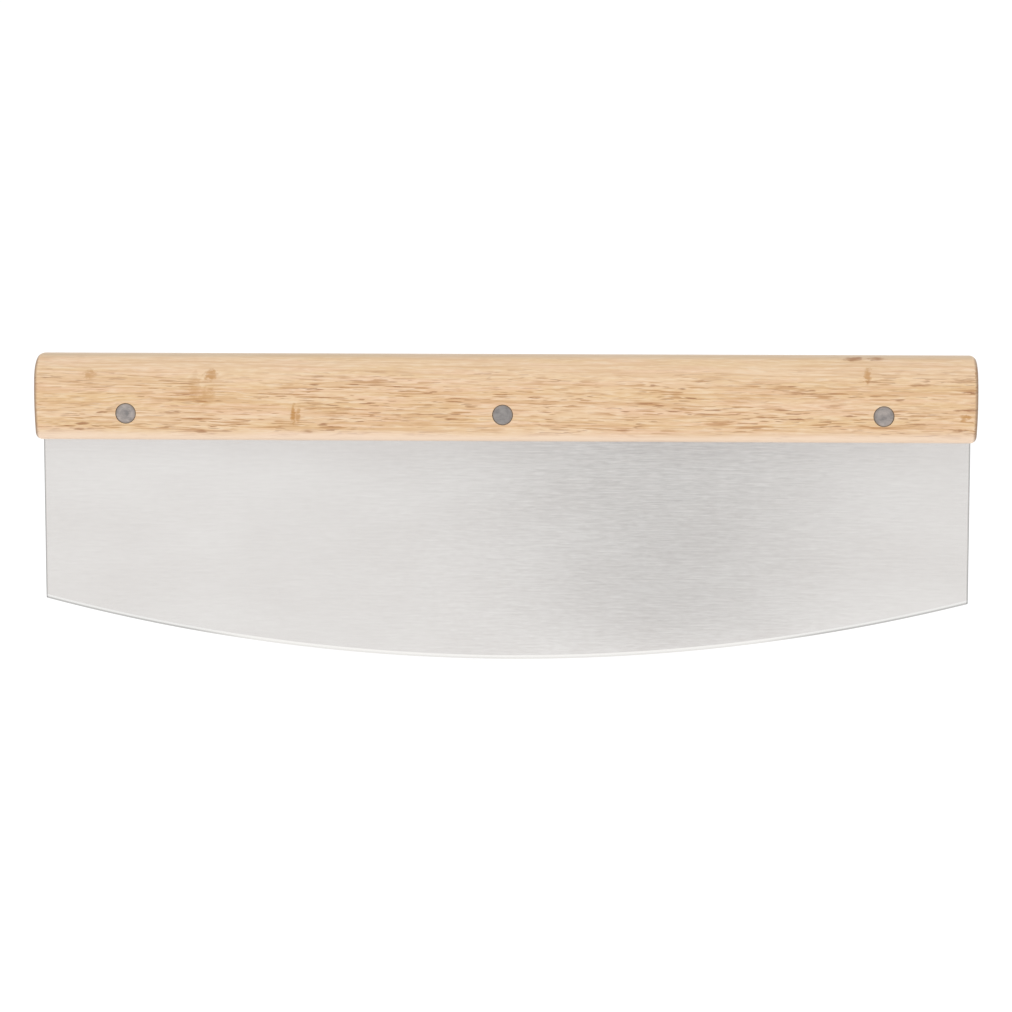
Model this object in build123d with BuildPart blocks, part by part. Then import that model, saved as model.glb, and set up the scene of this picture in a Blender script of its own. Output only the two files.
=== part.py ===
from build123d import *
from math import sqrt
import os

# Rocking pizza knife: a wide sheet blade with a curved cutting edge, let into
# a slot along a wooden bar handle and held there by three two-part rivets.
# Millimetres. +Z up with the handle on top, +X along the blade, front at -Y.
# Origin: the lowest point of the cutting edge, at mid length and mid thickness.

# Blade
blade_length = 350.0
blade_thickness = 1.2
blade_drop = 83.8  # cutting edge below the handle, at mid length
edge_radius = 698.0  # the rocking curve, in side view
tang_height = 20.5  # strip of the sheet inside the handle
bevel_height = 1.5  # ground band along the cutting edge
edge_thickness = 0.2  # steel left at the cutting edge
corner_radius = 0.4  # outer corners of the sheet

# Handle
handle_overhang = 2.0  # past each side of the blade
handle_height = 32.2
handle_thickness = 20.0
back_radius = 8.5  # along the top, under the palms
belly_radius = 3.0  # along the lower edges, beside the blade
end_radius = 2.2  # round each end
end_bow = 0.6  # how far each end swells between its corners

# Slot in the handle
slot_side_clearance = 0.05  # each side of the sheet
slot_head_room = 0.5  # above the sheet

# Rivets: a tube half from the front, a post half from the back
rivet_inset = 35.0  # axis of each outer rivet in from the handle's end
rivet_rise = 10.1  # rivet axis above the handle's lower face
head_diameter = 7.5
head_thickness = 1.4
head_recess = 0.1  # head below the wood
head_side_clearance = 0.1  # ring between head and wood
head_edge = 0.2  # rounded rim of the head
tube_diameter = 4.8
tube_bore_diameter = 3.2
tube_floor = 1.0  # closed end of the tube's bore, above the head
tube_end_gap = 0.5  # tube's mouth to the other head
post_side_clearance = 0.05
post_tip_gap = 2.0  # post's tip to the floor of the bore
post_tip_chamfer = 0.4
wood_bore_clearance = 0.05  # round the tube, in the handle
sheet_hole_clearance = 0.15  # round the tube, in the blade

overrun = 5.0  # how far every cut runs past its stock

# Places worked out from the sizes above
blade_half_length = blade_length / 2
blade_half_thickness = blade_thickness / 2
corner_rise = edge_radius - sqrt(edge_radius**2 - blade_half_length**2)
tang_top = blade_drop + tang_height
handle_bottom = blade_drop
handle_top = handle_bottom + handle_height
handle_middle = handle_bottom + handle_height / 2
handle_length = blade_length + 2 * handle_overhang
handle_half_length = handle_length / 2
handle_half_thickness = handle_thickness / 2
rivet_z = handle_bottom + rivet_rise
outer_rivet_x = handle_half_length - rivet_inset
rivet_places = {"left": -outer_rivet_x, "middle": 0, "right": outer_rivet_x}
head_seat = head_recess + head_thickness  # seat of each head below the wood
tube_radius = tube_diameter / 2
tube_length = handle_thickness - 2 * head_seat - tube_end_gap
tube_bore_radius = tube_bore_diameter / 2
tube_bore_depth = tube_length - tube_floor
post_length = tube_end_gap + tube_bore_depth - post_tip_gap


# Plane on the handle's front face at a rivet, facing out of the wood
def front_face(x):
    return Plane(origin=(x, -handle_half_thickness, rivet_z), x_dir=(1, 0, 0), z_dir=(0, -1, 0))


# Plane on the handle's back face at a rivet, facing out of the wood
def back_face(x):
    return Plane(origin=(x, handle_half_thickness, rivet_z), x_dir=(-1, 0, 0), z_dir=(0, 1, 0))


front_faces = [front_face(x) for x in rivet_places.values()]
back_faces = [back_face(x) for x in rivet_places.values()]

os.makedirs("parts", exist_ok=True)

# Blade: flat sheet, square at the top, one arc at the cutting edge
left_corner = (-blade_half_length, corner_rise)
right_corner = (blade_half_length, corner_rise)
tang_corners = [(blade_half_length, tang_top), (-blade_half_length, tang_top)]
with BuildPart() as blade:
    with BuildSketch(Plane.XZ) as blade_outline:
        with BuildLine():
            ThreePointArc(left_corner, (0, 0), right_corner)
            Polyline(right_corner, *tang_corners, left_corner)
        make_face()
        fillet(blade_outline.vertices().group_by(Axis.Y)[0], corner_radius)
    extrude(amount=blade_half_thickness, both=True)

    # The bevel is ground from both faces, square to the arc all the way along,
    # so the stock to remove is a ring about the arc's centre
    edge_half_thickness = edge_thickness / 2
    bevel_flare = overrun * (blade_half_thickness - edge_half_thickness) / bevel_height
    bevel_outside = blade_half_thickness + bevel_flare
    with BuildSketch(Plane.YZ):
        with BuildLine():
            Polyline(
                (edge_half_thickness, -overrun),
                (edge_half_thickness, 0),
                (bevel_outside, bevel_height + overrun),
                (bevel_outside, -overrun),
                close=True,
            )
        make_face()
        mirror(about=Plane.YZ)
    revolve(axis=Axis((0, 0, edge_radius), (0, 1, 0)), mode=Mode.SUBTRACT)

    with Locations(*front_faces):
        Hole(radius=tube_radius + sheet_hole_clearance)
blade.part.label = "blade"
export_step(blade.part, "parts/blade.step")

# Handle: one bar, rounded all round, slotted from below and bored for the rivets
bow_corner_x = handle_half_length - end_bow
with BuildPart() as handle:
    with BuildSketch(Plane.XZ):
        with BuildLine():
            right_end = ThreePointArc(
                (bow_corner_x, handle_bottom),
                (handle_half_length, handle_middle),
                (bow_corner_x, handle_top),
            )
            left_end = mirror(right_end, about=Plane.YZ)
            Line(right_end @ 0, left_end @ 0)
            Line(right_end @ 1, left_end @ 1)
        make_face()
    extrude(amount=handle_half_thickness, both=True)
    fillet(handle.edges().filter_by(Axis.X).group_by(Axis.Z)[-1], back_radius)
    fillet(handle.edges().filter_by(Axis.X).group_by(Axis.Z)[0], belly_radius)
    for end in (handle.faces().sort_by(Axis.X)[0], handle.faces().sort_by(Axis.X)[-1]):
        fillet(end.edges(), end_radius)

    with BuildSketch(Plane.XY.offset(handle_bottom - overrun)):
        Rectangle(handle_length + overrun, blade_thickness + 2 * slot_side_clearance)
    extrude(amount=overrun + tang_height + slot_head_room, mode=Mode.SUBTRACT)

    with Locations(*front_faces, *back_faces):
        CounterBoreHole(
            radius=tube_radius + wood_bore_clearance,
            counter_bore_radius=head_diameter / 2 + head_side_clearance,
            counter_bore_depth=head_seat,
            depth=handle_half_thickness,
        )
handle.part.label = "handle"
export_step(handle.part, "parts/handle.step")

# Rivets: each half is a flat head on a shank, the post a push fit in the tube
for place, x in rivet_places.items():
    with BuildPart() as tube_half:
        with BuildSketch(front_face(x).offset(-head_seat)):
            Circle(head_diameter / 2)
        extrude(amount=head_thickness)
        fillet(tube_half.faces().sort_by(Axis.Y)[0].edges(), head_edge)
        with BuildSketch(front_face(x).offset(-head_seat)):
            Circle(tube_radius)
        extrude(amount=-tube_length)
        with BuildSketch(front_face(x).offset(-head_seat - tube_length)):
            Circle(tube_bore_radius)
        extrude(amount=tube_bore_depth, mode=Mode.SUBTRACT)
    tube_half.part.label = f"rivet_{place}_tube"
    export_step(tube_half.part, f"parts/rivet_{place}_tube.step")

    with BuildPart() as post_half:
        with BuildSketch(back_face(x).offset(-head_seat)):
            Circle(head_diameter / 2)
        extrude(amount=head_thickness)
        fillet(post_half.faces().sort_by(Axis.Y)[-1].edges(), head_edge)
        with BuildSketch(back_face(x).offset(-head_seat)):
            Circle(tube_bore_radius - post_side_clearance)
        extrude(amount=-post_length)
        chamfer(post_half.faces().sort_by(Axis.Y)[0].edges(), post_tip_chamfer)
    post_half.part.label = f"rivet_{place}_post"
    export_step(post_half.part, f"parts/rivet_{place}_post.step")
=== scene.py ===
import math

import bmesh
import bpy
import numpy as np
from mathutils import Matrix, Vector


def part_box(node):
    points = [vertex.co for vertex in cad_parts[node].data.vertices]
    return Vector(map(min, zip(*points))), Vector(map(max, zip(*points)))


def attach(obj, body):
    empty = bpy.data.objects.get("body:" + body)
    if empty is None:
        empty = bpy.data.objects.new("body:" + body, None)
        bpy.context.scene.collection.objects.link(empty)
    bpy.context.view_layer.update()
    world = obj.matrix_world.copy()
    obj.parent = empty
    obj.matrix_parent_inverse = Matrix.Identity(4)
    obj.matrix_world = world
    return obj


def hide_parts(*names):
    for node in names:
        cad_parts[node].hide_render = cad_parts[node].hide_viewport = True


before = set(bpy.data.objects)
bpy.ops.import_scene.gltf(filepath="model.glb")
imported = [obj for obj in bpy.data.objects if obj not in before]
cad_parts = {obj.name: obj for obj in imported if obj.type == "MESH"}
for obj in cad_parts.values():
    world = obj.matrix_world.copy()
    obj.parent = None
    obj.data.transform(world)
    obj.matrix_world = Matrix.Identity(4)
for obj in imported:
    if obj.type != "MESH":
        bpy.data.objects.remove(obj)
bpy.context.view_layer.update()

# A rocking pizza knife standing on its cutting edge: +Z up through the handle,
# +X along the blade, front at -Y. Lengths are metres, written as so many mm.
mm = 0.001
body = "root"
places = ("left", "middle", "right")  # of the rivets

handleLow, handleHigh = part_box("handle")
bladeLow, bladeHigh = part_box("blade")
tubeBox = {place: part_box(f"rivet_{place}_tube") for place in places}
postBox = {place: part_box(f"rivet_{place}_post") for place in places}
rivetX = {place: (tubeBox[place][0].x + tubeBox[place][1].x) / 2 for place in places}
rivetZ = (tubeBox["middle"][0].z + tubeBox["middle"][1].z) / 2
headRadius = (tubeBox["middle"][1].x - tubeBox["middle"][0].x) / 2


# Camera

camera = {
    "distance": 1202 * mm,  # lens to the point it looks at
    "azimuth": math.radians(2.86),  # a little to the right of the knife's middle
    "elevation": math.radians(6.6),  # the knife leans back, as it does lying on handle and edge
    "target": Vector((0.8 * mm, 0, 58.5 * mm)),
    "pixelsPerMetre": 2643,  # at the target
    "frame": 1012,  # pixels across the picture
    "nearest": 50 * mm,  # what lies nearer isn't drawn
    "farthest": 60,  # metres
}


# Stands the camera off its target and sets the lens so that a metre at the
# target covers the wanted number of pixels: lens = sensor x pixels x distance / frame.
def placeCamera():
    azimuth, elevation = camera["azimuth"], camera["elevation"]
    back = Vector((
        math.sin(azimuth) * math.cos(elevation),
        -math.cos(azimuth) * math.cos(elevation),
        math.sin(elevation),
    ))
    lens = bpy.data.cameras.new("photoLens")
    lens.lens = lens.sensor_width * camera["pixelsPerMetre"] * camera["distance"] / camera["frame"]
    lens.clip_start, lens.clip_end = camera["nearest"], camera["farthest"]
    eye = bpy.data.objects.new("photoCamera", lens)
    eye.location = camera["target"] + back * camera["distance"]
    eye.rotation_mode = "QUATERNION"
    eye.rotation_quaternion = (-back).to_track_quat("-Z", "Y")
    bpy.context.collection.objects.link(eye)
    bpy.context.scene.camera = eye


placeCamera()
print("camera placed")


# Surfaces

meshing = {
    "window": 6.0 * mm,  # half side of the square patch round a rivet
    "windowCells": 16,  # along each side of it
    "weldGap": 0.001 * mm,  # points nearer than this become one
    "sharpAngle": math.radians(35),  # steeper edges stay sharp
}


# Values along a line: each stretch between two marks is cut into its own count
# of equal steps, and the last mark closes the row.
def steps(marks, counts):
    runs = [
        np.linspace(start, stop, count, endpoint=False)
        for start, stop, count in zip(marks[:-1], marks[1:], counts)
    ]
    return np.concatenate(runs + [[marks[-1]]])


# Places along X from one end to the other, with the window's own even steps
# across each rivet.
def rivetRow(end, endCells, betweenCells):
    cells = meshing["windowCells"]
    marks = [-end]
    for x in rivetX.values():
        marks += [x - meshing["window"], x + meshing["window"]]
    counts = [endCells, cells, betweenCells, cells, betweenCells, cells, endCells]
    return steps(marks + [end], counts)


# The four-sided faces of a grid of points: each cell joins a point to its
# neighbours one row and one column on. Opened cells are left out.
def gridFaces(rows, columns, opened=None):
    number = np.arange(rows * columns).reshape(rows, columns)
    faces = np.stack([number[:-1, :-1], number[1:, :-1], number[1:, 1:], number[:-1, 1:]], axis=-1)
    return faces.reshape(-1, 4) if opened is None else faces[~opened]


# A grid of points whose cells are opened round the rivets: those whose middle lies
# in a rivet's window, both along X and up Z.
def openedPatch(points):
    middle = (points[:-1, :-1] + points[1:, 1:]) / 2
    near = np.min([np.abs(middle[..., 0] - centre) for centre in rivetX.values()], axis=0)
    half = meshing["window"]
    return points, (near < half) & (np.abs(middle[..., 2] - rivetZ) < half)


# The points round the window from its lower left corner, closed, as distances and
# directions from its middle.
def windowLoop():
    half, cells = meshing["window"], meshing["windowCells"]
    run = np.linspace(-half, half, cells + 1)
    low, high = np.full(cells, -half), np.full(cells, half)
    u = np.concatenate([run[:-1], high, run[:0:-1], low, [-half]])
    v = np.concatenate([low, run[:-1], high, run[:0:-1], [-half]])
    return np.hypot(u, v), np.arctan2(v, u)


# A bore along Y between two windows: each ring is a circle of its own radius at
# its own y, and a radius of zero stands for the square of the window itself.
def boredPatch(x, rings):
    reach, angle = windowLoop()
    radius, y = np.array(rings).T[:, :, None]
    radius = np.where(radius > 0, radius, reach)
    points = [x + radius * np.cos(angle), y + 0 * angle, rivetZ + radius * np.sin(angle)]
    return np.stack(points, axis=-1), None


# Joins patches of points into one closed mesh: they meet edge to edge, so merging
# their doubles closes the seams, and the normals are turned outwards after that.
def makePiece(name, patches, finish, nodes):
    starts = np.cumsum([0] + [points.shape[0] * points.shape[1] for points, _ in patches])
    points = np.concatenate([points.reshape(-1, 3) for points, _ in patches])
    faces = np.concatenate([
        gridFaces(*points.shape[:2], opened) + start
        for (points, opened), start in zip(patches, starts)
    ])
    mesh = bpy.data.meshes.new(name)
    mesh.vertices.add(len(points))
    mesh.vertices.foreach_set("co", points.ravel())
    mesh.loops.add(faces.size)
    mesh.loops.foreach_set("vertex_index", faces.ravel().astype(np.int32))
    mesh.polygons.add(len(faces))
    mesh.polygons.foreach_set("loop_start", np.arange(0, faces.size, 4, dtype=np.int32))
    mesh.update(calc_edges=True)
    joined = bmesh.new()
    joined.from_mesh(mesh)
    bmesh.ops.remove_doubles(joined, verts=joined.verts, dist=meshing["weldGap"])
    bmesh.ops.dissolve_degenerate(joined, edges=joined.edges, dist=meshing["weldGap"])
    bmesh.ops.recalc_face_normals(joined, faces=joined.faces)
    openEdges = sum(len(edge.link_faces) != 2 for edge in joined.edges)
    joined.to_mesh(mesh)
    joined.free()
    mesh.polygons.foreach_set("use_smooth", np.ones(len(mesh.polygons), bool))
    mesh.set_sharp_from_angle(angle=meshing["sharpAngle"])
    mesh.materials.append(finish)
    piece = bpy.data.objects.new(name, mesh)
    bpy.context.collection.objects.link(piece)
    weighted = piece.modifiers.new("evenNormals", "WEIGHTED_NORMAL")
    weighted.keep_sharp = True
    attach(piece, body)
    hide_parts(*nodes)
    print(f"{name}: {len(mesh.polygons)} faces, {openEdges} open edges")


# Node trees

# A colour as seen on screen, red, green and blue from 0 to 255, as the light
# values that a shader wants
def light(seen):
    share = np.array(seen) / 255
    value = np.where(share <= 0.04045, share / 12.92, ((share + 0.055) / 1.055) ** 2.4)
    return (*value.tolist(), 1.0)


# One socket of a node tree. Arithmetic on it adds Math nodes.
class Signal:
    def __init__(self, sheet, socket):
        self.sheet = sheet
        self.socket = socket

    def math(self, operation, *values):
        return self.sheet.node("ShaderNodeMath", {"operation": operation}, dict(enumerate(values)))

    def __add__(self, other):
        return self.math("ADD", self, other)

    def __radd__(self, other):
        return self.math("ADD", other, self)

    def __sub__(self, other):
        return self.math("SUBTRACT", self, other)

    def __rsub__(self, other):
        return self.math("SUBTRACT", other, self)

    def __mul__(self, other):
        return self.math("MULTIPLY", self, other)

    def __rmul__(self, other):
        return self.math("MULTIPLY", other, self)

    def __truediv__(self, other):
        return self.math("DIVIDE", self, other)

    def __abs__(self):
        return self.math("ABSOLUTE", self)

    def root(self):
        return self.math("SQRT", self)

    def atLeast(self, other):
        return self.math("MAXIMUM", self, other)

    def atMost(self, other):
        return self.math("MINIMUM", self, other)

    # 0 below low, 1 above high, and a smooth step between; a low above high falls instead
    def rise(self, low, high):
        settings = {"interpolation_type": "SMOOTHSTEP"}
        values = {"Value": self, "From Min": low, "From Max": high}
        return self.sheet.node("ShaderNodeMapRange", settings, values)


# A node tree to add nodes to.
class Sheet:
    def __init__(self, tree):
        self.tree = tree
        tree.nodes.clear()

    # Adds a node: settings first, then the values or links of its sockets. Gives
    # back its first output in use, or the one that is asked for.
    def node(self, kind, settings=None, values=None, output=None):
        made = self.tree.nodes.new(kind)
        for key, value in (settings or {}).items():
            setattr(made, key, value)
        for key, value in (values or {}).items():
            socket = made.inputs[key] if isinstance(key, int) else self.pick(made.inputs, key)
            if isinstance(value, Signal):
                self.tree.links.new(value.socket, socket)
            else:
                socket.default_value = value
        return Signal(self, self.pick(made.outputs, output)) if len(made.outputs) else None

    def pick(self, sockets, name):
        used = [socket for socket in sockets if socket.enabled]
        return next(socket for socket in used if name in (None, socket.name))

    # Object coordinates in millimetres
    def place(self):
        values = {0: self.node("ShaderNodeTexCoord", output="Object"), "Scale": 1 / mm}
        return self.node("ShaderNodeVectorMath", {"operation": "SCALE"}, values)

    def split(self, vector):
        return [self.node("ShaderNodeSeparateXYZ", {}, {0: vector}, axis) for axis in "XYZ"]

    def join(self, x, y, z):
        return self.node("ShaderNodeCombineXYZ", {}, {"X": x, "Y": y, "Z": z})

    # Noise from 0 to 1 whose lumps measure about size = (x, y, z) millimetres.
    # Another shift gives another pattern.
    def noise(self, place, size, detail=2.0, roughness=0.5, shift=0.0):
        scaled = self.node("ShaderNodeVectorMath", {"operation": "DIVIDE"}, {0: place, 1: size})
        offset = (shift, shift * 0.7, shift * 1.3)
        moved = self.node("ShaderNodeVectorMath", {"operation": "ADD"}, {0: scaled, 1: offset})
        values = {"Vector": moved, "Scale": 1.0, "Detail": detail, "Roughness": roughness}
        return self.node("ShaderNodeTexNoise", {}, values)

    # One colour into another by a factor, each a signal or as seen on screen
    def blend(self, factor, first, second):
        ends = [each if isinstance(each, Signal) else light(each) for each in (first, second)]
        values = {"Factor": factor, "A": ends[0], "B": ends[1]}
        return self.node("ShaderNodeMix", {"data_type": "RGBA"}, values)

    def bump(self, height, strength, distance):
        values = {"Strength": strength, "Distance": distance, "Height": height}
        return self.node("ShaderNodeBump", {}, values)

    def facing(self):
        return self.split(self.node("ShaderNodeNewGeometry", output="Normal"))


# A material with its own sheet, whose surface is one Principled shader. The fixed
# values are set on the shader's own sockets, and the rest is linked to it.
def makeFinish(name, fixed, draw):
    material = bpy.data.materials.new(name)
    material.use_nodes = True
    sheet = Sheet(material.node_tree)
    shader = sheet.node("ShaderNodeBsdfPrincipled", {}, fixed | draw(sheet))
    sheet.node("ShaderNodeOutputMaterial", {}, {"Surface": shader})
    return material


# Wood of the handle

wood = {
    "cream": (241, 209, 172),
    "straw": (235, 200, 154),
    "blush": (241, 202, 170),
    "pale": (248, 226, 198),
    "fibre": (219, 176, 129),
    "vessel": (192, 141, 93),
    "deep": (163, 108, 66),
    "knot": (196, 141, 76),
    "sandMarksAndSheen": (247, 222, 198),  # painted sheen along the belly
    "paintedTopShade": (203, 181, 152),  # painted shade along the top
    "endGrain": (132, 102, 78),
    "slope": 0.010,  # the grain runs slightly down to the right
    "waver": 1.3,  # mm that the grain wanders up and down
    "waverSize": (60, 24, 16),  # this and the next: lumps of a noise along X, Y and Z, mm
    "bandSize": (90, 10, 5),
    "tintSize": (30, 8, 2.2),
    "fineSize": (6, 0.7, 0.6),
    "fibreSize": (50, 1.5, 0.9),
    "clusterSize": (26, 7, 5),
    "dashSize": (9, 0.9, 0.55),
    "deepSize": (6, 0.8, 0.48),
    "smearSize": (2.2, 2.2, 1.2),
    "raggedSize": (3, 2, 1),
    "tintShare": 0.6,  # this and the next: how much of a tone is laid over the others
    "finePaleShare": 0.45,
    "fineBrownShare": 0.4,
    "fibreShare": 0.6,
    "vesselShare": 0.8,
    "deepShare": 0.75,
    "upperShare": 0.17,
    "bellySheenShare": 0.85,
    "paintedTopShadeShare": 0.6,
    "lineShare": 0.9,
    "endGrainShare": 0.85,
    "upperBand": (19, 25),  # mm above the belly, where a tone starts and where it is full
    "bellySheenBand": (5.2, 1.2),
    "smear": 3.0,  # how far a knot's outline strays, in its half sizes
    "ragged": 2.2,  # the same for a dark line
    "markReach": 60,  # mm squared, how far marks go into the wood
    "roughness": 0.42,
    "vesselRoughness": 0.2,
    "bumpStrength": 0.35,
    "bumpHeight": 0.08 * mm,
}

# Pin knots and stains seen in the front face: x and z of the middle, half length,
# half height, all mm, and how dark
pinKnots = (
    (-155.6, 108.5, 2.4, 1.5, 0.7),
    (-109.5, 108.5, 2.3, 2.0, 1.0),
    (-115.7, 104.5, 2.0, 4.5, 0.4),
    (-111.5, 100.5, 2.6, 3.4, 0.4),
    (-78.6, 93.5, 0.9, 3.2, 0.9),
    (-76.9, 93.2, 0.8, 2.4, 0.7),
    (135.8, 109.0, 1.3, 2.6, 1.0),
    (172.0, 93.6, 2.0, 1.2, 0.8),
    (176.5, 110.6, 0.9, 2.2, 1.0),
)

# Thin dark lines in the grain, written in the same way
darkLines = (
    (-158.6, 90.0, 2.4, 0.5, 0.9),
    (-159.2, 88.0, 2.6, 0.45, 0.8),
    (-126.0, 94.3, 3.4, 0.4, 0.6),
    (-113.0, 87.2, 3.0, 0.5, 0.7),
    (-67.2, 90.0, 1.6, 0.5, 0.8),
    (-73.0, 87.5, 2.6, 0.45, 0.6),
    (109.3, 92.7, 2.8, 0.4, 0.9),
    (117.0, 102.2, 9.0, 0.35, 0.6),
    (130.6, 115.1, 4.2, 0.75, 1.0),
    (139.4, 115.2, 4.0, 0.6, 0.9),
    (137.0, 106.7, 4.2, 0.35, 0.5),
    (153.5, 91.0, 3.6, 0.35, 0.7),
    (155.3, 105.6, 3.2, 0.7, 0.5),
    (170.0, 106.8, 5.6, 0.4, 0.6),
    (170.0, 88.7, 2.6, 0.45, 0.8),
    (172.8, 96.3, 4.6, 0.4, 0.9),
    (174.8, 103.0, 3.2, 0.4, 1.0),
)


def drawWood(sheet):
    place = sheet.place()
    x, y, z = sheet.split(place)
    low, front = handleLow.z / mm, handleLow.y / mm
    wander = sheet.noise(place, wood["waverSize"], detail=1) - 0.5
    lift = wander * wood["waver"] * 2 + x * wood["slope"]
    grain = sheet.join(x, y + wander * wood["waver"], z + lift)

    # Slow bands of tone, yellower and pinker
    band = sheet.noise(grain, wood["bandSize"]).rise(0.36, 0.64)
    tint = sheet.noise(grain, wood["tintSize"], shift=7).rise(0.46, 0.68)
    colour = sheet.blend(band, wood["cream"], wood["straw"])
    colour = sheet.blend(tint * wood["tintShare"], colour, wood["blush"])

    # Fine pale and brown fibres and a few long ones, then the open vessels as short
    # brown dashes in loose clusters, fewer of them near the top
    fine = sheet.noise(grain, wood["fineSize"], roughness=0.55, shift=2)
    fibre = sheet.noise(grain, wood["fibreSize"], detail=1, shift=3).rise(0.48, 0.68)
    colour = sheet.blend(fine.rise(0.5, 0.34) * wood["finePaleShare"], colour, wood["pale"])
    colour = sheet.blend(fine.rise(0.46, 0.7) * wood["fineBrownShare"], colour, wood["fibre"])
    colour = sheet.blend(fibre * wood["fibreShare"], colour, wood["fibre"])
    cluster = sheet.noise(grain, wood["clusterSize"], detail=1, shift=11).rise(0.38, 0.6)
    cluster = (0.35 + cluster * 0.65) * z.rise(low + 30.2, low + 22.2).atLeast(0.2)
    dash = sheet.noise(grain, wood["dashSize"], detail=1, roughness=0.4, shift=5)
    deep = sheet.noise(grain, wood["deepSize"], detail=1, roughness=0.4, shift=17)
    vessel = dash.rise(0.56, 0.65) * cluster
    deep = deep.rise(0.61, 0.7) * cluster
    colour = sheet.blend(vessel * wood["vesselShare"], colour, wood["vessel"])
    colour = sheet.blend(deep * wood["deepShare"], colour, wood["deep"])

    # Marks of one kind together, each an ellipse whose outline strays, as
    # (across squared + up squared + depth into the wood) falling from its middle
    inward = (y - front) * (y - front) / wood["markReach"]

    def marks(rows, stray):
        darkest = None
        for middleX, middleZ, halfLength, halfHeight, dark in rows:
            across = (x - middleX) / halfLength + stray
            up = (z - middleZ) / halfHeight + stray
            mark = (across * across + up * up + inward).rise(1.8, 0.0) * dark
            darkest = mark if darkest is None else darkest.atLeast(mark)
        return darkest

    smear = sheet.noise(place, wood["smearSize"], detail=3, roughness=0.65, shift=2) - 0.5
    knots = marks(pinKnots, smear * wood["smear"])
    colour = sheet.blend((knots * (0.5 + fine)).atMost(1.0), colour, wood["knot"])

    # Paler in the upper part, with painted sheen along the belly and painted shade
    # along the top, and the dark lines over that. The sawn ends show end grain, which
    # takes up more oil
    facing = sheet.facing()
    start, full = (low + height for height in wood["upperBand"])
    colour = sheet.blend(z.rise(start, full) * wood["upperShare"], colour, wood["pale"])
    # Painted sheen: a paler band along the belly, for the light and sheen it catches from below
    start, full = (low + height for height in wood["bellySheenBand"])
    sandMarksAndSheen = (z + wander * 3).rise(start, full)
    colour = sheet.blend(sandMarksAndSheen * wood["bellySheenShare"], colour, wood["sandMarksAndSheen"])
    # Painted shade: the wood is darker where it faces up, along the top
    paintedTopShade = facing[2].rise(0.8, 0.98)
    colour = sheet.blend(paintedTopShade * wood["paintedTopShadeShare"], colour, wood["paintedTopShade"])
    ragged = sheet.noise(place, wood["raggedSize"], shift=21) - 0.5
    lines = marks(darkLines, ragged * wood["ragged"])
    colour = sheet.blend(lines * wood["lineShare"], colour, wood["deep"])
    sawn = abs(facing[0]).rise(0.25, 0.85)
    colour = sheet.blend(sawn * wood["endGrainShare"], colour, wood["endGrain"])

    height = fine * -0.5 - vessel - deep
    return {
        "Base Color": colour,
        "Roughness": wood["roughness"] + vessel * wood["vesselRoughness"],
        "Normal": sheet.bump(height, wood["bumpStrength"], wood["bumpHeight"]),
    }


woodFinish = makeFinish("satin hardwood", {"IOR": 1.45}, drawWood)
print("wood drawn")


# Handle

handle = {
    "backRound": 8.5 * mm,  # along the top, under the palms
    "bellyRound": 3.0 * mm,  # beside the blade
    "endRound": 2.2 * mm,
    "endBow": 0.6 * mm,  # how far each end swells between its corners
    "slotGap": 0.05 * mm,  # each side of the sheet
    "slotHead": 0.5 * mm,  # above the sheet
    "pocketGap": 0.1 * mm,  # ring round a rivet's head
    "pocketRim": 0.08 * mm,  # broken edge of the pocket
    "boreGap": 0.05 * mm,
    "headSeat": 1.5 * mm,  # face of the wood to the seat of the head
    "tubeRadius": 2.4 * mm,
    "arcSteps": 16,  # round the belly and the back
    "endSteps": 10,  # round each end
    "underPoints": 6,  # from the slot to the belly's rounding
    "topPoints": 4,  # from the back's rounding to the middle of the top
    "bellyMargin": 0.4 * mm,  # a narrow row that ends the belly's rounding
    "endMargin": 0.6 * mm,  # the same before each end
    "endCells": 10,  # along X, outside the outer rivets
    "betweenCells": 36,  # along X, between two rivets
    "capRows": 6,  # from the outside to the slot, on each end
}


# Points on a quarter circle about a centre, from one heading to another in
# degrees, with the direction of each from the centre.
def quarter(centre, radius, start, stop):
    angle = np.radians(np.linspace(start, stop, handle["arcSteps"] + 1))
    outward = np.stack([np.cos(angle), np.sin(angle)], axis=1)
    return np.array(centre) + radius * outward, outward


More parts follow.
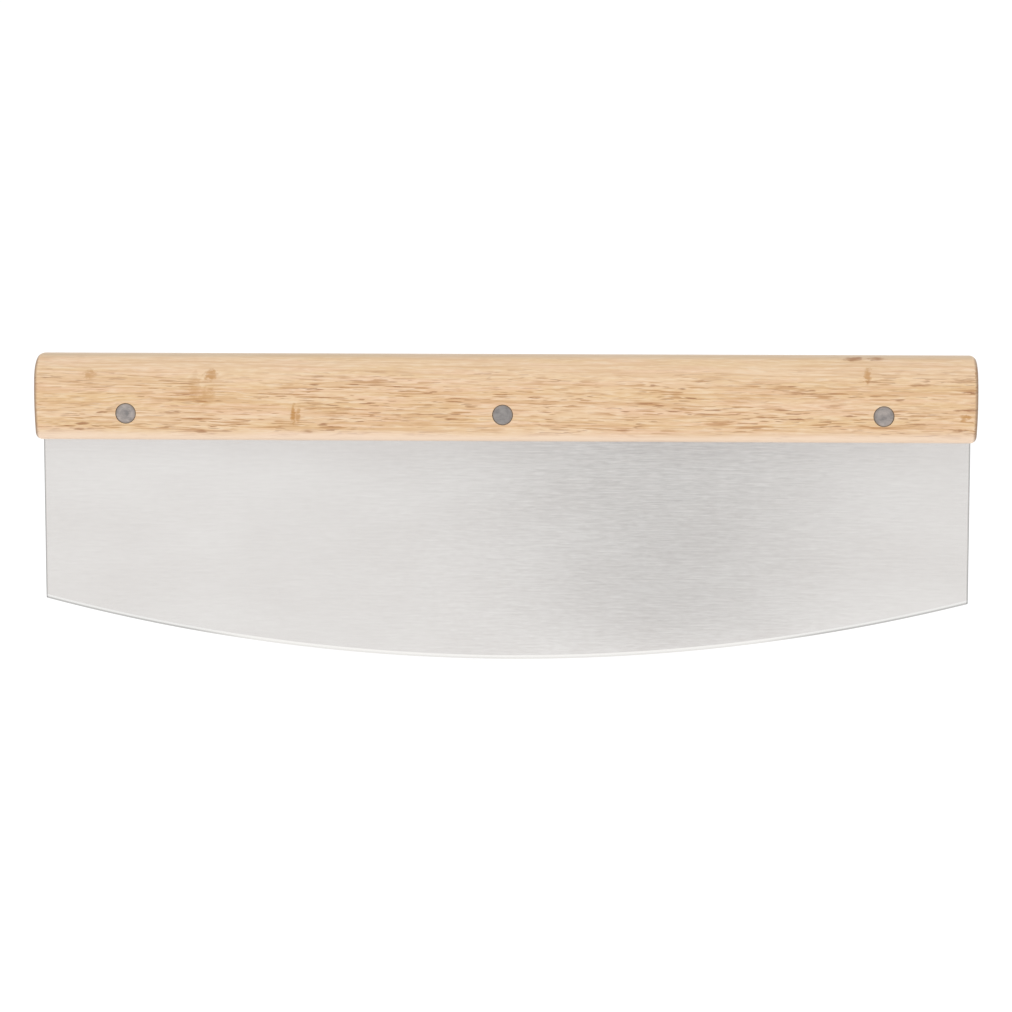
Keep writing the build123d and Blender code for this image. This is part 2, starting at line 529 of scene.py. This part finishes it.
# Half of the cross-section in Y and Z, from the lip of the slot round the front
# face to the middle of the top, as four arrays: the outside, its outward
# directions, the slot's wall across from it, and how far that wall follows the
# rounded ends. Drawing a point in against its direction gives the same shape
# with smaller roundings.
def handleHalf():
    half, low, high = handleHigh.y, handleLow.z, handleHigh.z
    belly, back, window = handle["bellyRound"], handle["backRound"], meshing["window"]
    underPoints, topPoints = handle["underPoints"], handle["topPoints"]
    lip = bladeHigh.y + handle["slotGap"]
    slotTop = bladeHigh.z + handle["slotHead"]
    levels = steps(
        [
            low + belly,
            low + belly + handle["bellyMargin"],
            rivetZ - window,
            rivetZ + window,
            slotTop,
            high - back,
        ],
        [1, 1, meshing["windowCells"], 4, 3],
    )
    underY = np.linspace(-lip, belly - half, underPoints)
    under = np.stack([underY, np.full(underPoints, low)], axis=1)
    bellyArc, bellyOut = quarter((belly - half, low + belly), belly, 270, 180)
    front = np.stack([np.full(len(levels), -half), levels], axis=1)
    backArc, backOut = quarter((back - half, high - back), back, 180, 90)
    topY = np.linspace(back - half, 0, topPoints)
    top = np.stack([topY, np.full(topPoints, high)], axis=1)
    outside = np.concatenate([under, bellyArc[1:], front[1:], backArc[1:], top[1:]])
    outward = np.concatenate([
        np.tile([0, -1], (underPoints, 1)),
        bellyOut[1:],
        np.tile([-1, 0], (len(levels) - 1, 1)),
        backOut[1:],
        np.tile([0, 1], (topPoints - 1, 1)),
    ])
    # The slot's wall keeps level with the outside up to the slot's top, and its
    # lip rises with the rounded end of the handle
    lowRows = underPoints + handle["arcSteps"]
    topRows = topPoints - 1 + handle["arcSteps"]
    lowZ = np.linspace(low, low + belly, lowRows)
    wallZ = np.concatenate([lowZ, np.minimum(levels[1:], slotTop)])
    wall = np.stack([np.full(len(wallZ), -lip), wallZ], axis=1)
    acrossY = np.linspace(-lip, 0, topRows + 1)
    across = np.stack([acrossY, np.full(topRows + 1, slotTop)], axis=1)
    lift = np.concatenate([np.linspace(1, 0, lowRows), np.zeros(len(outside) - lowRows)])
    return outside, outward, np.concatenate([wall, across[1:]]), lift


# The whole section: the half, and its mirror image run back down.
def bothSides(half, flip):
    return np.concatenate([half, (half * flip)[-2::-1]])


# The handle is that section carried along X. Near each end it is drawn in round
# a quarter circle, and the ends swell by a parabola in Z. The slot's wall is a
# second skin, two end caps join the skins point to point, and the rivet bores
# open from the outer skin through to the slot.
def makeHandle():
    outside, outward, wall, lift = handleHalf()
    outside = bothSides(outside, (-1, 1))
    outward = bothSides(outward, (-1, 1))
    wall = bothSides(wall, (-1, 1))
    lift = bothSides(lift, 1)

    length, rounding, bow = handleHigh.x, handle["endRound"], handle["endBow"]
    middle = (handleHigh.z + handleLow.z) / 2
    halfHeight = (handleHigh.z - handleLow.z) / 2
    flatEnd = length - rounding - bow - handle["endMargin"]
    straight = rivetRow(flatEnd, handle["endCells"], handle["betweenCells"])

    theta = np.radians(np.linspace(90, 0, handle["endSteps"] + 1))
    inset = rounding * (1 - np.cos(theta))
    reach = rounding * (np.sin(theta) - 1)
    flat = np.zeros(len(straight))
    side = np.concatenate([np.full(len(theta), -1), flat, np.full(len(theta), 1)])[:, None]
    reach = np.concatenate([reach, flat, reach[::-1]])[:, None]
    inset = np.concatenate([inset, flat, inset[::-1]])[:, None]
    alongX = np.concatenate([theta * 0, straight, theta * 0])[:, None]

    def endX(z):
        return length - bow * ((z - middle) / halfHeight) ** 2

    def skin(y, z):
        return np.stack([side * (endX(z) + reach) + alongX, y, z], axis=-1)

    outerY = outside[:, 0] - inset * outward[:, 0]
    outerZ = outside[:, 1] - inset * outward[:, 1]
    outerSkin = skin(outerY, outerZ)
    slotSkin = skin(wall[:, 0] + 0 * inset, wall[:, 1] + inset * lift)
    patches = [openedPatch(outerSkin), openedPatch(slotSkin)]

    # End caps: straight lines from the outside to the slot's wall, on the swollen end
    share = np.linspace(0, 1, handle["capRows"] + 1)[:, None]
    for column, sign in ((0, -1), (-1, 1)):
        outer, inner = outerSkin[column], slotSkin[column]
        y = outer[:, 1] * (1 - share) + inner[:, 1] * share
        z = outer[:, 2] * (1 - share) + inner[:, 2] * share
        patches.append((np.stack([sign * endX(z), y, z], axis=-1), None))

    # Each bore from the face inwards: the pocket's edge is broken in two small
    # slopes, then come its wall, the seat of the head and the bore for the tube
    half, lip, rim = handleHigh.y, bladeHigh.y + handle["slotGap"], handle["pocketRim"]
    pocket = headRadius + handle["pocketGap"]
    bore = handle["tubeRadius"] + handle["boreGap"]
    rings = [
        (0, half),
        (pocket + 3 * rim, half),
        (pocket + rim, half),
        (pocket + 0.3 * rim, half - 0.3 * rim),
        (pocket, half - rim),
        (pocket, half - handle["headSeat"]),
        (bore, half - handle["headSeat"]),
        (bore, lip),
        (0, lip),
    ]
    for x in rivetX.values():
        for face in (-1, 1):
            patches.append(boredPatch(x, [(radius, face * y) for radius, y in rings]))
    makePiece("handleBar", patches, woodFinish, ["handle"])


makeHandle()


# Steel of the blade

steel = {
    "bright": (240, 239, 237),
    "dull": (209, 204, 201),
    "bevel": (247, 245, 242),
    "bevelEnds": (238, 237, 235),
    "edge": (235, 233, 230),  # the last of the bevel
    "edgeEnds": (192, 191, 189),
    "cutSideAndShade": (118, 117, 116),  # the cut sides of the sheet, and the painted shade beside them
    "microSize": (14, 0.14, 0.14),  # this and the next: lumps of a noise along X, Y and Z, mm
    "shortSize": (3.2, 0.8, 0.8),
    "longSize": (12, 0.7, 0.7),
    "cloudSize": (40, 20, 20),
    "acrossSize": (0.25, 2, 1),
    "gapReflectionX": 55,  # mm, where the scratches show most, as painted light where the blade mirrors the edge of the dark gap
    "gapReflectionBand": (130, 10),  # mm from there, where they start to and where they fully show
    "plainScratch": 0.22,  # how much the scratches change the shade
    "gapReflectionScratch": 0.46,  # and how much more there, as painted light
    "cloudShade": 0.2,
    "paintedUnderShade": 0.1,  # painted shade: darker under the handle, where it shades the blade and is mirrored in it
    "underBand": (70, 84),  # mm above the edge, where that starts and where it is full
    "bevelBlur": 0.08,  # mm
    "endBand": (92, 124),  # mm from the middle, where the bevel's end tones start and are full
    "edgeBand": (0.95, 0.4),  # mm from the edge, the same for the edge's tone
    "sideBand": (0.75, 0.25),  # mm from the cut side, the same for the painted shade on the face
    "paintedSideShadeShare": 0.45,
    "roughness": 0.17,
    "cutRoughness": 0.15,
    "bumpHeight": 0.03 * mm,
}

blade = {
    "edgeRadius": 698.0 * mm,  # the rocking curve
    "bevelHeight": 1.5 * mm,
    "edgeHalf": 0.1 * mm,  # half of the steel left at the cutting edge
    "cornerRadius": 0.4 * mm,
    "sideRound": 0.3 * mm,  # worn edges of the cut sides
    "holeGap": 0.15 * mm,  # round the rivet's tube
    "roundSteps": 6,  # round each cut side
    "faceRows": 14,  # from the rivets' windows down to the bevel
    "endCells": 12,  # along X, outside the outer rivets
    "betweenCells": 52,  # along X, between two rivets
    "cornerBevel": 0.3,  # least height of the bevel at the corners, in corner radii
}


def drawSteel(sheet):
    place = sheet.place()
    x, y, z = sheet.split(place)
    # Brushed along the length: scratches in short and long overlapping strokes, and
    # finer ones that only spread the mirror image up and down
    micro = sheet.noise(place, steel["microSize"], detail=1, shift=13)
    scratch = sheet.noise(place, steel["shortSize"])
    scratch = (scratch + sheet.noise(place, steel["longSize"], shift=4)) / 2
    cloud = sheet.noise(place, steel["cloudSize"], detail=1, shift=9)
    # Painted light: the scratches get more contrast round one place along the blade, where it
    # mirrors the edge of the dark gap
    wearAndGapLight = abs(x - steel["gapReflectionX"]).rise(*steel["gapReflectionBand"])
    shade = (scratch - 0.5) * (steel["plainScratch"] + wearAndGapLight * steel["gapReflectionScratch"])
    shade = shade + (cloud - 0.5) * steel["cloudShade"]
    # Painted shade: darker just under the handle
    shade = shade + z.rise(*steel["underBand"]) * steel["paintedUnderShade"]
    colour = sheet.blend(shade.rise(-0.5, 0.5), steel["bright"], steel["dull"])

    # The bevel is the ring within its height of the cutting edge, ground across.
    # It is darker at the very edge, most of all toward the ends
    radius, bevelHeight = blade["edgeRadius"] / mm, blade["bevelHeight"] / mm
    depth = radius - (x * x + (z - radius) * (z - radius)).root()
    ground = depth.rise(bevelHeight + steel["bevelBlur"], bevelHeight - steel["bevelBlur"])
    endward = abs(x).rise(*steel["endBand"])
    across = sheet.noise(sheet.join(x, y, z * 0.1), steel["acrossSize"], shift=6)
    bevel = sheet.blend(endward, steel["bevel"], steel["bevelEnds"])
    edge = sheet.blend(endward, steel["edge"], steel["edgeEnds"])
    bevel = sheet.blend(depth.rise(*steel["edgeBand"]), bevel, edge)
    colour = sheet.blend(ground, colour, bevel)

    # The cut sides are dark, and a band of painted shade beside them on the face stands in for the
    # shade of their rounded edges
    cut = abs(sheet.facing()[0]).rise(0.1, 0.6)
    start, full = (bladeHigh.x / mm - distance for distance in steel["sideBand"])
    paintedSideShade = abs(x).rise(start, full) * steel["paintedSideShadeShare"]
    colour = sheet.blend(cut.atLeast(paintedSideShade), colour, steel["cutSideAndShade"])

    height = (micro + scratch * 0.6) * (1 - ground) + across * ground * 0.5
    return {
        "Base Color": colour,
        "Roughness": steel["roughness"] + cut * steel["cutRoughness"],
        "Normal": sheet.bump(height, 1.0, steel["bumpHeight"]),
    }


steelFinish = makeFinish("brushed stainless", {"Metallic": 1.0}, drawSteel)
print("steel drawn")


# Blade

# The sheet is a section in Y and Z carried along X. Its face runs from the tang's
# top down to the bevel, which follows a circle about the centre of the rocking
# curve, and the bevel runs to the cutting edge on a circle of the full radius:
# z = radius - square root of (circle squared - x squared).
def makeBlade():
    half, length, top = bladeHigh.y, bladeHigh.x, bladeHigh.z
    radius, corner, wearAndGapLight = blade["edgeRadius"], blade["cornerRadius"], blade["sideRound"]
    window = meshing["window"]

    # Along X, closing in on the cut sides round a quarter circle at each worn edge
    theta = np.radians(np.linspace(90, 0, blade["roundSteps"] + 1))
    straightEnd = length - wearAndGapLight
    straight = rivetRow(straightEnd, blade["endCells"], blade["betweenCells"])
    leftX = -straightEnd - wearAndGapLight * np.sin(theta[:-1])
    x = np.concatenate([leftX, straight, -leftX[::-1]])
    roundHalf = half - wearAndGapLight + wearAndGapLight * np.cos(theta)
    faceHalf = np.concatenate([roundHalf[:-1], np.full(len(straight), half), roundHalf[-2::-1]])

    # Heights of the bevel's top and of the edge, whose outer corners are rounded
    bevelTop = radius - np.sqrt((radius - blade["bevelHeight"]) ** 2 - x**2)
    cornerX = length - corner
    cornerZ = radius - math.sqrt((radius - corner) ** 2 - cornerX**2)
    cornerStart = cornerX * radius / (radius - corner)
    past = np.clip(np.abs(x) - cornerX, 0, corner)
    edge = radius - np.sqrt(radius**2 - x**2)
    edge = np.where(np.abs(x) > cornerStart, cornerZ - np.sqrt(corner**2 - past**2), edge)
    bevelTop = np.maximum(bevelTop, edge + blade["cornerBevel"] * corner)

    tang = steps([top, rivetZ + window, rivetZ - window], [2, meshing["windowCells"]])
    share = np.linspace(0, 1, blade["faceRows"] + 1)[1:, None]
    face = tang[-1] * (1 - share) + bevelTop * share
    z = np.concatenate([np.tile(tang[:, None], (1, len(x))), face, edge[None, :]])
    y = np.tile(-faceHalf, (len(z), 1))
    y[-1] = -np.minimum(blade["edgeHalf"], faceHalf)

    # Down the front, up the back and closed over the top, then the two cut sides
    ringZ = np.concatenate([z, z[::-1], z[:1]])
    ringY = np.concatenate([y, -y[::-1], y[:1]])
    ring = np.stack([np.tile(x, (len(ringZ), 1)), ringY, ringZ], axis=-1)
    patches = [openedPatch(ring)]
    for column in (0, -1):
        cap = np.stack([
            np.full((len(z), 2), x[column]),
            np.stack([y[:, column], -y[:, column]], axis=1),
            np.stack([z[:, column], z[:, column]], axis=1),
        ], axis=-1)
        patches.append((cap, None))
    hole = handle["tubeRadius"] + blade["holeGap"]
    for middle in rivetX.values():
        patches.append(boredPatch(middle, [(0, -half), (hole, -half), (hole, half), (0, half)]))
    makePiece("bladeSheet", patches, steelFinish, ["blade"])


makeBlade()


# Rivets

rivet = {
    "face": {"left": (186, 176, 170), "middle": (168, 163, 160), "right": (186, 176, 170)},
    "wearAndGapLight": (138, 134, 133),
    # Rim colour: painted shade round the edge of the head
    "rim": (150, 138, 128),
    "turnedSize": (0.22, 1, 1),  # this and the next: lumps of a noise along X, Y and Z, mm
    "sandedSize": (3.5, 1, 0.25),
    "cloudSize": (2.5, 2.5, 2.5),
    "turnedShade": 0.3,
    "sandedShade": 0.3,
    "cloudShade": 0.6,
    "rimStart": 0.84,  # in radii of the head
    "rimBlur": 0.3,  # mm past the head, where the rim's tone would be full
    "paintedRimShade": 0.85,
    "roughness": 0.32,
    "sandedRoughness": 0.15,
    "bumpStrength": 0.25,
    "bumpHeight": 0.02 * mm,
    "headThickness": 1.4 * mm,
    "headEdge": 0.2 * mm,  # rounded rim
    "crown": 0.05 * mm,  # how far the face swells in the middle
    "boreRadius": 1.6 * mm,
    "boreDepth": 15.5 * mm,
    "tipChamfer": 0.4 * mm,
    "turnSteps": 72,  # round the axis
    "faceSteps": 7,  # from the middle of the face to its rim
    "edgeSteps": 5,  # round the rim
}


def rivetFinish(place, face):
    def draw(sheet):
        here = sheet.place()
        x, y, z = sheet.split(here)
        across, up = x - rivetX[place] / mm, z - rivetZ / mm
        radius = (across * across + up * up).root()
        # Rings from the lathe, under straight scratches from the sanding belt
        turned = sheet.noise(sheet.join(radius, 0.0, 0.0), rivet["turnedSize"])
        sandMarksAndSheen = sheet.noise(here, rivet["sandedSize"], shift=face * 3)
        cloud = sheet.noise(here, rivet["cloudSize"], shift=face)
        shade = turned * rivet["turnedShade"] + sandMarksAndSheen * rivet["sandedShade"]
        shade = (shade + cloud * rivet["cloudShade"]).rise(0.42, 0.78)
        colour = sheet.blend(shade, rivet["face"][place], rivet["wearAndGapLight"])
        # Painted shade: the outer ring of the head is darkened for the shadow in the gap round it
        head = headRadius / mm
        outer = (radius + cloud * 0.5).rise(rivet["rimStart"] * head, head + rivet["rimBlur"])
        colour = sheet.blend(outer * rivet["paintedRimShade"], colour, rivet["rim"])
        height = turned * 0.6 + sandMarksAndSheen
        return {
            "Base Color": colour,
            "Roughness": rivet["roughness"] + sandMarksAndSheen * rivet["sandedRoughness"],
            "Normal": sheet.bump(height, rivet["bumpStrength"], rivet["bumpHeight"]),
        }

    side = "front" if face < 0 else "back"
    return makeFinish(f"ground steel {place} {side}", {"Metallic": 1.0}, draw)


# A turned solid about the rivet's axis: each point of the profile, a radius and
# a y, goes round the circle x = radius cos, z = radius sin.
def turnedPatch(place, profile):
    radius, y = np.array(profile).T[:, :, None]
    angle = np.linspace(0, 2 * math.pi, rivet["turnSteps"] + 1)
    x = rivetX[place] + radius * np.cos(angle)
    return np.stack([x, y + 0 * angle, rivetZ + radius * np.sin(angle)], axis=-1), None


# The head's outline from the middle of its face out over the rounded rim to the
# seat: the face falls away by a parabola, the rim is a quarter circle. Depths
# are measured into the wood from the highest point of the head.
def headOutline():
    edge = rivet["headEdge"]
    flat = np.linspace(0, headRadius - edge, rivet["faceSteps"] + 1)
    sink = rivet["crown"] * (flat / headRadius) ** 2
    turn = np.radians(np.linspace(90, 0, rivet["edgeSteps"] + 1))[1:]
    rimRadius = headRadius - edge + edge * np.cos(turn)
    rimDepth = sink[-1] + edge * (1 - np.sin(turn))
    return list(zip(np.concatenate([flat, rimRadius]), np.concatenate([sink, rimDepth])))


# Each half is its head's outline and a shank: the tube half is hollow from its
# mouth, and the post half ends in a small chamfer.
def makeRivets():
    seat, bore, tube = rivet["headThickness"], rivet["boreRadius"], handle["tubeRadius"]
    post, chamfer = bore - handle["boreGap"], rivet["tipChamfer"]
    head = headOutline()
    for place in places:
        front, mouth = tubeBox[place][0].y, tubeBox[place][1].y
        floor = mouth - rivet["boreDepth"]
        tubeHalf = [(radius, front + depth) for radius, depth in head] + [
            (headRadius, front + seat),
            (tube, front + seat),
            (tube, mouth),
            (bore, mouth),
            (bore, floor),
            (0, floor),
        ]
        patches = [turnedPatch(place, tubeHalf)]
        finish, nodes = rivetFinish(place, -1), [f"rivet_{place}_tube"]
        makePiece(f"rivetTube_{place}", patches, finish, nodes)

        tip, back = postBox[place][0].y, postBox[place][1].y
        postHalf = [(radius, back - depth) for radius, depth in head] + [
            (headRadius, back - seat),
            (post, back - seat),
            (post, tip + chamfer),
            (post - chamfer, tip),
            (0, tip),
        ]
        patches = [turnedPatch(place, postHalf)]
        finish, nodes = rivetFinish(place, 1), [f"rivet_{place}_post"]
        makePiece(f"rivetPost_{place}", patches, finish, nodes)


makeRivets()


# Stage

stage = {
    "floorHalf": 12.0,  # metres
    "floorSeen": 0.72,  # share of the floor's white that no shadow can darken
    "floorTone": (170, 170, 170),
    "gapX": 66 * mm,  # the dark gap in the tent in front, through which the camera looks
    "gapNear": 0.5,  # metres behind the knife that it spreads from
    "gapLeft": 0.15,  # half widths as slopes, x over distance
    "gapRight": 0.13,
    "gapDepth": 0.25,
    "gapStart": (0.02, -0.15),  # y on the floor where it starts and where it is full
    "gapDeeper": (-0.45, -0.95),  # the same for its darker far part
    "gapNearDark": 0.9,  # shares of its depth on the floor: the near part
    "gapFarDark": 1.2,  # and what the far part adds
    "front": 1.05,  # light from the front, back and sides
    "above": 0.84,  # light from above
}


# The soft dark gap in front through which the camera looks, which only metal
# mirrors: 1 in its middle and 0 outside it. The slope is x over the distance forward.
def cameraGap(slope):
    spread = slope.atLeast(0.0) / stage["gapRight"] - slope.atMost(0.0) / stage["gapLeft"]
    return spread.rise(1.0, 0.0)


# The floor is white to the camera but for the object's shadow, and glows white
# to everything else, with the dark gap across it in front.
def makeFloor():
    mesh = bpy.data.meshes.new("floor")
    half = stage["floorHalf"]
    corners = [(-half, -half, 0), (half, -half, 0), (half, half, 0), (-half, half, 0)]
    mesh.from_pydata(corners, [], [(0, 1, 2, 3)])
    floor = bpy.data.objects.new("floor", mesh)
    bpy.context.collection.objects.link(floor)
    material = bpy.data.materials.new("studio floor")
    material.use_nodes = True
    sheet = Sheet(material.node_tree)
    isCamera = sheet.node("ShaderNodeLightPath", output="Is Camera Ray")
    isGlossy = sheet.node("ShaderNodeLightPath", output="Is Glossy Ray")
    lit = sheet.node("ShaderNodeBsdfDiffuse", {}, {"Color": light(stage["floorTone"])})
    glow = sheet.node("ShaderNodeEmission", {}, {"Strength": stage["floorSeen"]})
    seen = sheet.node("ShaderNodeAddShader", {}, {0: lit, 1: glow})
    x, y, z = sheet.split(sheet.node("ShaderNodeTexCoord", output="Object"))
    gap = cameraGap((x - stage["gapX"]) / (stage["gapNear"] - y)) * y.rise(*stage["gapStart"])
    dark = stage["gapNearDark"] + y.rise(*stage["gapDeeper"]) * stage["gapFarDark"]
    dark = gap * dark * isGlossy * stage["gapDepth"]
    around = sheet.node("ShaderNodeEmission", {}, {"Strength": 1 - dark})
    whole = sheet.node("ShaderNodeMixShader", {}, {0: isCamera, 1: around, 2: seen})
    sheet.node("ShaderNodeOutputMaterial", {}, {"Surface": whole})
    mesh.materials.append(material)


# Light from all round, as in a tent: full from the front and sides, less from
# above. The camera sees plain white, and metal the dark gap in front.
def makeWorld():
    world = bpy.data.worlds.new("light tent")
    world.use_nodes = True
    bpy.context.scene.world = world
    sheet = Sheet(world.node_tree)
    isCamera = sheet.node("ShaderNodeLightPath", output="Is Camera Ray")
    isGlossy = sheet.node("ShaderNodeLightPath", output="Is Glossy Ray")
    x, y, z = sheet.split(sheet.node("ShaderNodeTexCoord", output="Generated"))
    strength = stage["front"] + z.rise(0.1, 0.9) * (stage["above"] - stage["front"])
    gap = cameraGap(x / (0 - y).atLeast(0.01)) * y.rise(0.0, -0.1) * z.rise(0.6, 0.2)
    strength = (strength - gap * isGlossy * stage["gapDepth"]).atLeast(isCamera)
    glow = sheet.node("ShaderNodeBackground", {}, {"Color": (1, 1, 1, 1), "Strength": strength})
    sheet.node("ShaderNodeOutputWorld", {}, {"Surface": glow})


makeFloor()
makeWorld()
bpy.context.scene.view_settings.view_transform = "Standard"
print("stage set")
